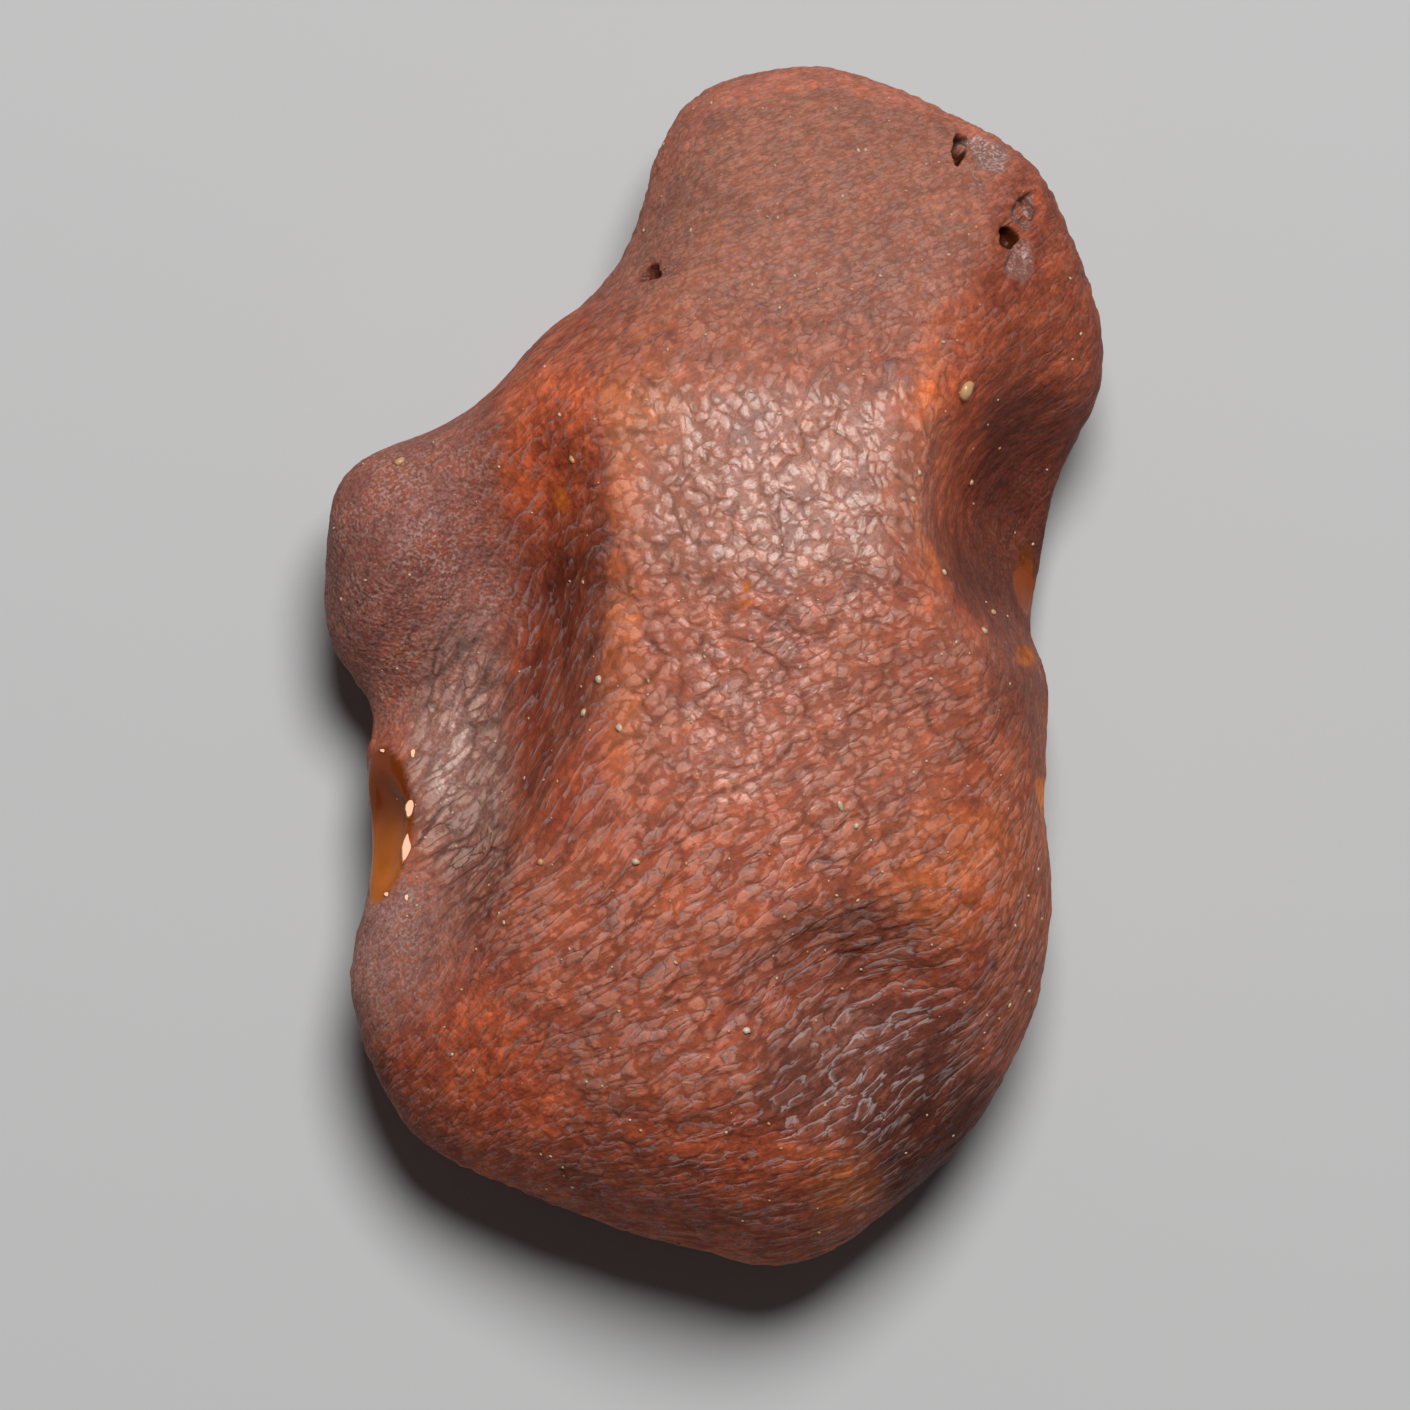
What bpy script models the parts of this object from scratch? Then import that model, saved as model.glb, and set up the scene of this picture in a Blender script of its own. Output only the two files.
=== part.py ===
"""A raw amber nodule: one waterworn lump with a weathered crust, lying on its flattest side.

+Y runs from the broad end to the narrow end, +X to the right seen from above, +Z up. The origin is
on the surface that the lump rests on, under the middle of its outline. The lump is one solid. A
tall loaf stands on a lower skirt, the skirt carries a side lobe and a waist, and chips and pits are
cut out of the crust.
"""

import math

import bmesh
import bpy
import numpy as np
from mathutils import Matrix, Vector, noise
from mathutils.bvhtree import BVHTree

# Places, sizes and meshes are in millimetres, and each object is scaled by MM into metres.
MM = 0.001

# Driving dimensions
LENGTH = 40.0  # along Y
WIDTH = 26.0  # along X
THICKNESS = 15.4  # along Z
REST_DEPTH = 0.6  # how much of the belly is worn flat, measured up from its lowest point

# How finely the lump is divided
BOX_CUTS = (25, 38, 15)  # cuts along the X, Y and Z edges of the box that the lump is swollen from
OUTLINE_STEPS = 8  # straight steps between two points of an outline
SMOOTHINGS = 1  # passes that wear the creases down

# The outline seen from above, counter-clockwise from the waist on the right. The points are for a
# lump of LENGTH by WIDTH, and the centre is where its rays reach every side.
CENTRE = (0.2, -0.5)
OUTLINE = (
    (11.2, -0.6), (10.6, 1.0), (10.7, 2.8), (11.2, 4.6), (11.7, 6.6), (12.6, 8.4), (13.0, 10.4),
    (12.7, 12.3), (12.1, 14.2), (11.2, 16.1), (9.6, 17.4), (7.4, 18.7), (5.4, 19.6), (3.4, 20.0),
    (1.4, 19.7), (-0.5, 19.1), (-1.7, 17.4), (-2.4, 15.1), (-3.6, 12.9), (-5.8, 10.8),
    (-7.5, 8.9), (-9.6, 7.8), (-11.6, 7.2), (-12.8, 5.9), (-13.0, 3.3), (-12.9, 1.1),
    (-12.1, -0.4), (-11.4, -1.6), (-11.8, -3.5), (-11.5, -6.4), (-11.9, -9.0), (-12.2, -10.8),
    (-11.2, -13.9), (-9.7, -16.1), (-7.4, -17.3), (-4.5, -18.4), (-1.4, -19.4), (1.6, -20.0),
    (3.9, -19.5), (6.2, -17.9), (8.3, -16.0), (9.9, -13.4), (11.1, -10.4), (11.4, -7.4),
    (11.1, -4.4),
)  # fmt: skip

# The edge of the loaf, the tall middle of the lump, counter-clockwise from its right side
LOAF_EDGE = (
    (9.9, -0.2), (8.1, 2.2), (6.8, 4.4), (6.7, 6.4), (7.6, 8.8), (8.2, 11.0), (9.0, 13.4),
    (9.6, 16.0), (8.0, 18.0), (3.6, 19.2), (0.0, 18.4), (-1.6, 15.6), (-3.2, 12.2), (-3.9, 9.0),
    (-3.4, 6.6), (-3.5, 3.6), (-3.6, 0.8), (-4.3, -2.0), (-5.8, -4.8), (-7.2, -7.4), (-7.9, -10.4),
    (-8.4, -13.6), (-6.6, -16.2), (-2.4, -17.8), (1.8, -18.8), (5.2, -17.2), (7.8, -14.6),
    (9.4, -11.6), (10.3, -8.0), (10.4, -4.2),
)  # fmt: skip
WALL = {-12.0: 2.2, -6.0: 1.8, 0.0: 2.7, 8.0: 2.8}  # how far its wall spreads outwards, by Y
FOOT_ROUNDING = 0.35  # share of the wall taken by the hollow at its foot
BRINK_ROUNDING = {-11.0: 0.6, -4.0: 0.16, 13.0: 0.16, 16.0: 0.5}  # the same at its edge, by Y

# Spot heights of the loaf's top, as (x, y): z
LOAF_HEIGHTS = {
    (3.8, 19.0): 8.8,  # the narrow end
    (-0.5, 17.6): 9.0,
    (7.9, 17.2): 9.6,
    (3.5, 16.2): 10.8,  # the end facet
    (-1.2, 14.5): 11.2,
    (8.2, 14.2): 11.6,
    (-3.2, 11.8): 12.3,
    (2.8, 12.2): 13.0,
    (7.8, 11.5): 12.9,
    (2.4, 9.8): 13.6,  # the brow
    (-3.5, 8.8): 13.1,
    (6.9, 8.6): 13.5,
    (1.8, 6.4): 14.5,  # the slope under the brow
    (1.8, 3.2): 15.1,
    (-3.4, 5.5): 13.9,
    (-3.4, 1.5): 14.1,
    (-4.2, -1.8): 13.7,
    (6.2, 4.8): 14.2,
    (7.8, 2.0): 13.9,
    (9.4, -0.8): 13.0,
    (10.0, -4.5): 12.3,
    (0.6, -1.2): 15.1,  # the dip between the two crests
    (-0.4, -5.6): 15.4,
    (-5.4, -5.0): 13.5,
    (4.6, -6.8): 14.5,
    (-6.9, -8.4): 12.6,
    (9.5, -8.2): 12.3,
    (9.2, -11.4): 11.2,
    (-1.4, -10.6): 14.2,
    (-7.3, -12.4): 11.0,
    (-1.9, -14.2): 13.0,
    (-6.6, -15.2): 10.2,
    (-3.0, -17.2): 10.6,
    (1.8, -18.2): 10.2,  # the broad end
    (4.5, -16.4): 11.4,
    (7.4, -14.0): 10.6,
}

# Spot heights of the skirt, the lower ground on both sides of the loaf
SKIRT_HEIGHTS = {
    (-5.6, 9.6): 11.2,  # the shoulder between the lobe and the loaf
    (-7.2, 7.9): 9.8,
    (-9.4, 6.6): 8.9,  # the lobe
    (-12.0, 5.6): 8.5,
    (-10.8, 3.6): 8.8,
    (-11.8, 1.4): 8.2,
    (-9.4, 3.0): 8.2,
    (-6.2, 5.0): 8.2,  # the valley between the lobe and the loaf
    (-7.4, 0.8): 7.0,
    (-8.8, -2.8): 6.9,
    (-10.9, -1.0): 6.4,  # the notch
    (-10.0, -4.2): 7.5,
    (-10.0, -7.6): 7.9,
    (-11.0, -10.2): 8.2,
    (-9.6, -13.2): 8.4,
    (0.0, -18.5): 8.0,
    (9.0, -13.0): 8.6,
    (11.2, -3.8): 9.0,
    (10.7, -0.5): 8.6,
    (10.4, 3.4): 9.2,  # the ground that the waist is worn into
    (10.4, 6.4): 9.3,
    (11.4, 9.6): 9.4,  # the right lobe
    (11.2, 12.4): 9.9,
    (10.2, 15.2): 9.9,
    (2.0, 18.6): 8.8,
}

# Height of the rim, the line where the lump is widest, by compass angle in degrees from +X
RIM_HEIGHTS = {0: 4.6, 22: 3.3, 48: 6.2, 90: 5.2, 150: 5.4, 190: 4.6, 225: 5.4, 270: 5.4, 315: 5.6}
UPPER_ROUNDING = 3.2  # how far inside the rim the upper side has turned level
LOWER_ROUNDING = 6.0  # the same for the underside

# Spot heights of the underside, before its lowest part is worn flat
BELLY_HEIGHTS = {
    (0.0, 0.0): 0.0,
    (3.0, 8.0): 0.2,
    (4.0, 15.0): 1.9,
    (-1.0, -8.0): 0.1,
    (-1.0, -15.5): 1.7,
    (8.0, 9.5): 1.3,
    (7.5, -6.0): 0.9,
    (-7.0, -8.0): 1.1,
    (-9.0, 3.5): 2.0,
    (-5.0, 1.5): 0.5,
}

# Dishes worn into the upper side: centre, half length, half width, turn in degrees, depth and
# how gently the lip begins (1 is a crisp lip)
DISHES = (
    ((4.7, -10.4), 3.9, 2.6, 8.0, 1.3, 1.2),  # the steep side of the basin at the broad end
    ((4.5, -12.3), 4.4, 4.7, 20.0, 1.2, 1.4),  # the floor of the basin
    ((10.6, 4.6), 4.6, 4.2, 80.0, 4.9, 1.0),  # the hollow of the waist
    ((1.6, 10.8), 5.6, 2.2, 4.0, 0.25, 2.0),  # the trough along the brow
)

# Holes in the crust: place, half length, half width, turn in degrees, depth
PITS = {
    "end_pit": ((8.2, 17.3), 0.55, 0.38, 100.0, 0.9),
    "long_pit": ((10.3, 15.2), 0.75, 0.42, 75.0, 0.8),
    "round_pit": ((9.8, 14.1), 0.6, 0.42, 60.0, 0.8),
    "small_pit": ((-2.1, 12.9), 0.5, 0.28, 20.0, 0.6),
}

# Pieces broken out of the edge: centre and half sizes of the ball that each one leaves
CHIPS = {
    "left_chip": ((-12.5, -5.2, 7.1), (2.3, 3.0, 2.5)),
    "right_chip": ((11.6, 2.9, 5.2), (1.8, 1.7, 1.6)),
}

# How finely the balls are divided, and how far their surfaces wander as a share of their size
CHIP_DIVISIONS = 3
CHIP_UNEVENNESS = 0.15
PIT_DIVISIONS = 2
PIT_UNEVENNESS = 0.5

# Slow waves that keep the worn surface from being too even: wavelength and height
WAVES = ((7.0, 0.35), (2.6, 0.11))


def closed_curve(points):
    """A smooth closed curve through the points, as a polyline."""
    corners = np.array(points)
    before, after = np.roll(corners, 1, 0), np.roll(corners, -1, 0)
    beyond = np.roll(corners, -2, 0)
    steps = np.linspace(0, 1, OUTLINE_STEPS, endpoint=False)[:, None, None]
    curve = 0.5 * (
        2 * corners
        + (after - before) * steps
        + (2 * before - 5 * corners + 4 * after - beyond) * steps**2
        + (3 * corners - before - 3 * after + beyond) * steps**3
    )
    return curve.transpose(1, 0, 2).reshape(-1, 2)


def distance_inside(places, curve):
    """Distance of each place to the closed curve, negative outside it."""
    start, end = curve, np.roll(curve, -1, 0)
    along = end - start
    share = ((places[:, None] - start) * along).sum(-1) / (along**2).sum(-1)
    nearest = start + np.clip(share, 0, 1)[..., None] * along
    distance = np.linalg.norm(places[:, None] - nearest, axis=-1).min(1)
    above = (start[:, 1] > places[:, None, 1]) != (end[:, 1] > places[:, None, 1])
    rise = np.where(along[:, 1] == 0, 1, along[:, 1])
    crossing = start[:, 0] + (places[:, None, 1] - start[:, 1]) / rise * along[:, 0]
    inside = (above & (places[:, None, 0] < crossing)).sum(1) % 2 == 1
    return np.where(inside, distance, -distance)


def plate_spline(heights):
    """A function of places: the stiff smooth plate that passes through the spot heights."""
    spots = np.array(list(heights))

    def bend(distance):
        return distance**2 * np.log(np.maximum(distance, 1e-6))

    def terms(places):
        distance = np.linalg.norm(places[:, None] - spots, axis=-1)
        return np.hstack([bend(distance), np.ones((len(places), 1)), places])

    size = len(spots)
    matrix = np.zeros((size + 3, size + 3))
    matrix[:size] = terms(spots)
    matrix[size:, :size] = matrix[:size, size:].T
    weights = np.linalg.solve(matrix, [*heights.values(), 0, 0, 0])
    return lambda places: terms(places) @ weights


def rounded_ramp(value, rounding):
    """Level up to 0 and then rising one for one, with the corner rounded."""
    corner = (value + rounding) ** 2 / (4 * rounding)
    return np.where(value < -rounding, 0, np.where(value > rounding, value, corner))


def dish(places, centre, half_length, half_width, turn, depth, lip):
    """How deep an oval dish is at each place."""
    angle = math.radians(turn)
    offset = places - np.array(centre)
    across = offset @ np.array([math.cos(angle), math.sin(angle)]) / half_length
    along = offset @ np.array([-math.sin(angle), math.cos(angle)]) / half_width
    return depth * np.clip(1 - across**2 - along**2, 0, None) ** lip


def rounded_edge(distance, reach):
    """0 at the rim and 1 from reach inwards, as a quarter circle."""
    short = 1 - np.clip(distance / reach, 0, 1)
    return np.sqrt(np.clip(1 - short**2, 0, 1))


def rim_height(places):
    angles = np.degrees(np.arctan2(places[:, 1] - CENTRE[1], places[:, 0] - CENTRE[0])) % 360
    return np.interp(angles, [*RIM_HEIGHTS, 360], [*RIM_HEIGHTS.values(), RIM_HEIGHTS[0]])


def upper_height(places, rim_distance):
    loaf = plate_spline(LOAF_HEIGHTS)(places)
    skirt = plate_spline(SKIRT_HEIGHTS)(places)
    wall = np.interp(places[:, 1], [*WALL], [*WALL.values()])
    step = 1 + distance_inside(places, closed_curve(LOAF_EDGE)) / wall
    brink = np.interp(places[:, 1], [*BRINK_ROUNDING], [*BRINK_ROUNDING.values()])
    climb = rounded_ramp(step, FOOT_ROUNDING) - rounded_ramp(step - 1, brink)
    ground = skirt + (np.maximum(loaf, skirt) - skirt) * climb
    ground -= sum(dish(places, *shape) for shape in DISHES)
    rim = rim_height(places)
    return rim + (ground - rim) * rounded_edge(rim_distance, UPPER_ROUNDING)


def lower_height(places, rim_distance):
    belly = plate_spline(BELLY_HEIGHTS)(places)
    rim = rim_height(places)
    return rim - (rim - belly) * rounded_edge(rim_distance, LOWER_ROUNDING)


def swollen_box():
    """A cube cut into squares, more of them along Y, with each point moved out to a ball."""
    shape = bmesh.new()
    bmesh.ops.create_cube(shape, size=2)
    for axis, cuts in enumerate(BOX_CUTS):
        along = [
            edge for edge in shape.edges if abs(edge.verts[0].co[axis] - edge.verts[1].co[axis]) > 1
        ]
        bmesh.ops.subdivide_edges(shape, edges=along, cuts=cuts, use_grid_fill=True)
    for vert in shape.verts:
        vert.co = Vector(math.tan(part * math.pi / 4) for part in vert.co).normalized()
    return shape


def lump_points(sphere):
    """Where each point of the unit sphere goes on the lump."""
    curve = closed_curve(OUTLINE)
    rays = curve - np.array(CENTRE)
    bearing = np.unwrap(np.arctan2(rays[:, 1], rays[:, 0]))
    reach = np.linalg.norm(rays, axis=1)
    angle = np.arctan2(sphere[:, 1], sphere[:, 0])
    angle = bearing[0] + (angle - bearing[0]) % (2 * math.pi)
    radius = np.interp(angle, [*bearing, bearing[0] + 2 * math.pi], [*reach, reach[0]])
    spread = np.linalg.norm(sphere[:, :2], axis=1) * radius
    places = np.array(CENTRE) + spread[:, None] * np.stack([np.cos(angle), np.sin(angle)], 1)
    distance = np.maximum(distance_inside(places, curve), 0)
    distance[np.abs(sphere[:, 2]) < 1e-6] = 0
    upper = upper_height(places, distance)
    lower = lower_height(places, distance)
    return np.column_stack([places, np.where(sphere[:, 2] > 0, upper, lower)])


def wave_at(point):
    """Height of the slow waves at a point, in millimetres."""
    return sum(height * noise.noise(Vector(point) / length) for length, height in WAVES)


def new_object(name, mesh):
    """An object whose mesh is in millimetres."""
    obj = bpy.data.objects.new(name, mesh)
    obj.scale = (MM, MM, MM)
    return obj


def make_lump():
    shape = swollen_box()
    points = lump_points(np.array([vert.co for vert in shape.verts]))
    for vert, point in zip(shape.verts, points, strict=True):
        vert.co = point
    for _ in range(SMOOTHINGS):
        smooth_once(shape)
    shape.normal_update()
    moves = [vert.normal * wave_at(vert.co) for vert in shape.verts]
    for vert, move in zip(shape.verts, moves, strict=True):
        vert.co += move
    fit_to_size(shape)
    bmesh.ops.recalc_face_normals(shape, faces=shape.faces[:])
    mesh = bpy.data.meshes.new("amber_nodule")
    shape.to_mesh(mesh)
    shape.free()
    mesh.shade_smooth()
    return new_object("amber_nodule", mesh)


def smooth_once(shape):
    """Moves each point half way to the middle of its neighbours."""
    points = shape.verts[:]
    bmesh.ops.smooth_vert(
        shape, verts=points, factor=0.5, use_axis_x=True, use_axis_y=True, use_axis_z=True
    )


def fit_to_size(shape):
    """Scales the lump to the driving dimensions, wears its belly flat and rests it on Z = 0."""
    points = np.array([vert.co for vert in shape.verts])
    low, high = points.min(0), points.max(0)
    low[2] += REST_DEPTH
    scale = np.array((WIDTH, LENGTH, THICKNESS)) / (high - low)
    foot = np.array(((low[0] + high[0]) / 2, (low[1] + high[1]) / 2, low[2]))
    for vert, point in zip(shape.verts, points, strict=True):
        vert.co = (point - foot) * scale
        vert.co.z = max(vert.co.z, 0)


def make_ball(name, centre, half_sizes, divisions, unevenness, turn=0.0):
    """A stretched and uneven ball, turned about Z by so many degrees."""
    ball = bmesh.new()
    bmesh.ops.create_icosphere(ball, subdivisions=divisions, radius=1)
    for vert in ball.verts:
        uneven = 1 + unevenness * noise.noise(2 * vert.co + Vector(centre))
        vert.co = Vector(
            part * half * uneven for part, half in zip(vert.co, half_sizes, strict=True)
        )
    turning = Matrix.Rotation(math.radians(turn), 3, "Z")
    bmesh.ops.rotate(ball, verts=ball.verts[:], matrix=turning)
    bmesh.ops.translate(ball, verts=ball.verts[:], vec=centre)
    mesh = bpy.data.meshes.new(name)
    ball.to_mesh(mesh)
    ball.free()
    return new_object(name, mesh)


def make_cutters(lump):
    """The balls that the chips and the pits are cut with."""
    cutters = [
        make_ball(name, centre, half_sizes, CHIP_DIVISIONS, CHIP_UNEVENNESS)
        for name, (centre, half_sizes) in CHIPS.items()
    ]
    tree = BVHTree.FromPolygons(
        [vert.co for vert in lump.data.vertices], [face.vertices for face in lump.data.polygons]
    )
    for name, (place, half_length, half_width, turn, depth) in PITS.items():
        surface = tree.ray_cast(Vector((*place, 2 * THICKNESS)), Vector((0, 0, -1)))[0]
        half_sizes = (half_length, half_width, depth)
        pit = make_ball(name, surface, half_sizes, PIT_DIVISIONS, PIT_UNEVENNESS, turn)
        cutters.append(pit)
    return cutters


def cut_lump(lump, cutters):
    for cutter in cutters:
        cutting = lump.modifiers.new(cutter.name, "BOOLEAN")
        cutting.operation = "DIFFERENCE"
        cutting.solver = "EXACT"
        cutting.object = cutter


def crust_material():
    """The weathered crust: a dull red brown resin with a waxy surface."""
    material = bpy.data.materials.new("amber_crust")
    material.use_nodes = True
    shader = material.node_tree.nodes["Principled BSDF"]
    shader.inputs["Base Color"].default_value = (0.30, 0.07, 0.025, 1)
    shader.inputs["Roughness"].default_value = 0.42
    shader.inputs["IOR"].default_value = 1.54
    shader.inputs["Metallic"].default_value = 0
    return material


def clear_scene():
    for obj in list(bpy.data.objects):
        bpy.data.objects.remove(obj)


def make_collection(name):
    collection = bpy.data.collections.new(name)
    bpy.context.scene.collection.children.link(collection)
    return collection


def main():
    clear_scene()
    lump = make_lump()
    lump.data.materials.append(crust_material())
    make_collection("raw_amber_piece").objects.link(lump)
    cutting_tools = make_collection("cutters")
    cutters = make_cutters(lump)
    for cutter in cutters:
        cutter.hide_render = True
        cutter.display_type = "WIRE"
        cutting_tools.objects.link(cutter)
    cut_lump(lump, cutters)


main()
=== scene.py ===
import math

import bmesh
import bpy
import numpy as np
from mathutils import Matrix, Vector
from mathutils.bvhtree import BVHTree


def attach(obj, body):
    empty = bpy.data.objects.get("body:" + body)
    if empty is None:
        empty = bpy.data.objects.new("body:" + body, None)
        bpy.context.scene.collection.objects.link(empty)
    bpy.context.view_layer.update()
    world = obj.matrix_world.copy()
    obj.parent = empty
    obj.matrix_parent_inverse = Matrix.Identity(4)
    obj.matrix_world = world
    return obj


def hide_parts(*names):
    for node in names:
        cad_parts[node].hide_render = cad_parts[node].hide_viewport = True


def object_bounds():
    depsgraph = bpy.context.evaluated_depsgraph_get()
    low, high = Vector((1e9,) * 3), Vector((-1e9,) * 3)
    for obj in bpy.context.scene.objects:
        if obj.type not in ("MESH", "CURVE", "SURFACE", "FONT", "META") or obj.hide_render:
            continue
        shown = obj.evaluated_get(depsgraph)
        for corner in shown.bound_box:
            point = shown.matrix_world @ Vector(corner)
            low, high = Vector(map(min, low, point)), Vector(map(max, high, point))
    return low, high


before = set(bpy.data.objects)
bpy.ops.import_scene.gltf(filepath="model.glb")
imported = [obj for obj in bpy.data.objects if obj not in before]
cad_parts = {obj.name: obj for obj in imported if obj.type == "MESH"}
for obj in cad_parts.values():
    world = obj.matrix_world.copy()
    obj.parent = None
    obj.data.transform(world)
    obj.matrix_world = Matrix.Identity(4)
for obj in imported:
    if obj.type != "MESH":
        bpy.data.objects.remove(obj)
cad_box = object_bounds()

# Lengths are in millimetres, and become metres when a mesh is finished. +Y runs towards the narrow
# end of the nodule, +X to its right and +Z up from what it lies on.

# The nodule. It is one lump of fossil resin, rolled and worn by water, under a crust that dried and
# crazed into scales. Two fresh chips in its sides show the clear resin. The solid of the frame is
# divided finely and worn smooth, and the crust is raised from it.
MM = 0.001
FINE_STEP = 0.195  # spacing of the points of the worn surface
WEARING_PASSES = 12
BULK_PASSES = 60  # the wearing is evened out over this many, so that the nodule keeps its bulk
WEAR = 0.5  # each pass moves a point this share of the way to the middle of its neighbours
CHIP_KEEPS = 0.8  # share of the wearing that the hard edges of the chips don't take
BROAD_PASSES = 40  # the normals are evened out over this many, to follow the form and no crease

# The two fresh chips, as the centre and half sizes of the hollow each one leaves
CHIPS = (((-12.5, -5.2, 7.1), (2.3, 3.0, 2.5)), ((11.6, 2.9, 5.2), (1.8, 1.7, 1.6)))
CHIP_RIM = (1.06, 1.12)  # where the fresh face ends, as a share of the half sizes

# The places of the pits, as ovals that are divided twice more
PITTED = (
    ((8.7, 17.0), (1.2, 0.9)),
    ((10.0, 14.2), (0.8, 1.7)),
    ((-2.1, 12.95), (0.6, 0.5)),
)


def solid_in_millimetres(node):
    """A merged copy of a frame solid, in millimetres."""
    shape = bmesh.new()
    shape.from_mesh(node.data)
    bmesh.ops.remove_doubles(shape, verts=shape.verts[:], dist=1e-6)
    bmesh.ops.scale(shape, vec=(1 / MM,) * 3, verts=shape.verts[:])
    mesh = bpy.data.meshes.new("nodule_solid")
    shape.to_mesh(mesh)
    shape.free()
    return mesh


def with_modifiers_applied(obj):
    """The mesh of an object once its modifiers have worked on it."""
    bpy.context.view_layer.update()
    depsgraph = bpy.context.evaluated_depsgraph_get()
    return bpy.data.meshes.new_from_object(obj.evaluated_get(depsgraph))


def finely_divided(mesh):
    """The same closed surface in small even squares."""
    obj = bpy.data.objects.new("nodule_surface", mesh)
    bpy.context.scene.collection.objects.link(obj)
    dividing = obj.modifiers.new("dividing", "REMESH")
    dividing.mode = "VOXEL"
    dividing.voxel_size = FINE_STEP
    fine = with_modifiers_applied(obj)
    bpy.data.objects.remove(obj)
    return fine


def divided_near(mesh, places):
    """Divide the upper squares of a mesh once more in some ovals seen from above."""
    shape = bmesh.new()
    shape.from_mesh(mesh)
    for (x, y), (half_x, half_y) in places:
        chosen = set()
        for face in shape.faces:
            middle = face.calc_center_median()
            reach = ((middle.x - x) / half_x) ** 2 + ((middle.y - y) / half_y) ** 2
            if reach < 1 and face.normal.z > 0:
                chosen.update(face.edges)
        bmesh.ops.subdivide_edges(shape, edges=list(chosen), cuts=1, use_grid_fill=True)
    shape.to_mesh(mesh)
    shape.free()


def edges_of(mesh):
    """The two points of every edge, one row each."""
    flat = np.empty(len(mesh.edges) * 2, dtype=np.int64)
    mesh.edges.foreach_get("vertices", flat)
    return flat.reshape(-1, 2)


def vectors_of(mesh, kind):
    """The points ("co") or the point normals ("normal") of a mesh, one row each."""
    flat = np.empty(len(mesh.vertices) * 3)
    mesh.vertices.foreach_get(kind, flat)
    return flat.reshape(-1, 3)


def sum_of_neighbours(values, edges, weights=None):
    """For each point, the sum of a value over the points it shares an edge with."""
    columns = values.reshape(len(values), -1)
    total = np.empty_like(columns)
    for number in range(columns.shape[1]):
        column = columns[:, number]
        ahead = column[edges[:, 1]] if weights is None else column[edges[:, 1]] * weights
        behind = column[edges[:, 0]] if weights is None else column[edges[:, 0]] * weights
        total[:, number] = np.bincount(edges[:, 0], ahead, len(values))
        total[:, number] += np.bincount(edges[:, 1], behind, len(values))
    return total.reshape(values.shape)


def blurred(values, edges, passes, share=1.0):
    """Values moved towards the mean of their neighbours, pass by pass."""
    neighbours = np.bincount(edges.ravel(), minlength=len(values))
    neighbours = neighbours.reshape(-1, *[1] * (values.ndim - 1))
    for _ in range(passes):
        values = values + share * (sum_of_neighbours(values, edges) / neighbours - values)
    return values


def smooth_step(values, low, high):
    """0 below the low value and 1 above the high one, with soft ends between them."""
    t = np.clip((values - low) / (high - low), 0.0, 1.0)
    return t * t * (3.0 - 2.0 * t)


def fresh_resin(points, chips):
    """1 on the faces of the chips, 0 on the crust."""
    fresh = np.zeros(len(points))
    for centre, half_sizes in chips:
        reach = np.linalg.norm((points - centre) / half_sizes, axis=1)
        fresh = np.maximum(fresh, 1.0 - smooth_step(reach, *CHIP_RIM))
    return fresh


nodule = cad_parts["amber_nodule"]
surface = finely_divided(solid_in_millimetres(nodule))
edges = edges_of(surface)
points = vectors_of(surface, "co")
wearing = blurred(points, edges, WEARING_PASSES, WEAR) - points
wearing -= blurred(wearing, edges, BULK_PASSES)
points = points + wearing * (1.0 - CHIP_KEEPS * fresh_resin(points, CHIPS))[:, None]
surface.vertices.foreach_set("co", points.ravel())
divided_near(surface, PITTED)
divided_near(surface, PITTED)
edges = edges_of(surface)
points = vectors_of(surface, "co")
normals = vectors_of(surface, "normal")
broad_normals = blurred(normals, edges, BROAD_PASSES)
broad_normals /= np.linalg.norm(broad_normals, axis=1)[:, None]

# How far the clear resin shows round each chip
SHOWN_CHIPS = (((-12.5, -4.9, 7.1), (2.3, 3.4, 2.6)), CHIPS[1])
fresh = fresh_resin(points, SHOWN_CHIPS)

# Where the sides stand out a little more: centre, half sizes and how far
SWELLINGS = (
    ((10.2, 2.9), (1.6, 1.7), (0.30, 0.0)),
    ((10.9, -3.6), (2.2, 5.4), (0.32, 0.0)),
    ((9.6, 16.9), (2.6, 2.6), (0.32, 0.30)),
)
FACING = (-0.1, 0.4)  # how squarely a point faces the way it is pushed, from none to all of it


def within(points, centre, half_sizes, sharpness=4):
    """1 in the middle of an oval seen from above, falling to 0 outside it."""
    reach = np.hypot(*((points[:, :2] - centre) / half_sizes).T)
    return np.exp(-(reach**sharpness))


for centre, half_sizes, push in SWELLINGS:
    facing = smooth_step(normals[:, :2] @ push / np.hypot(*push), *FACING)
    points[:, :2] += np.outer(within(points, centre, half_sizes, 2) * facing, push)

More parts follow.
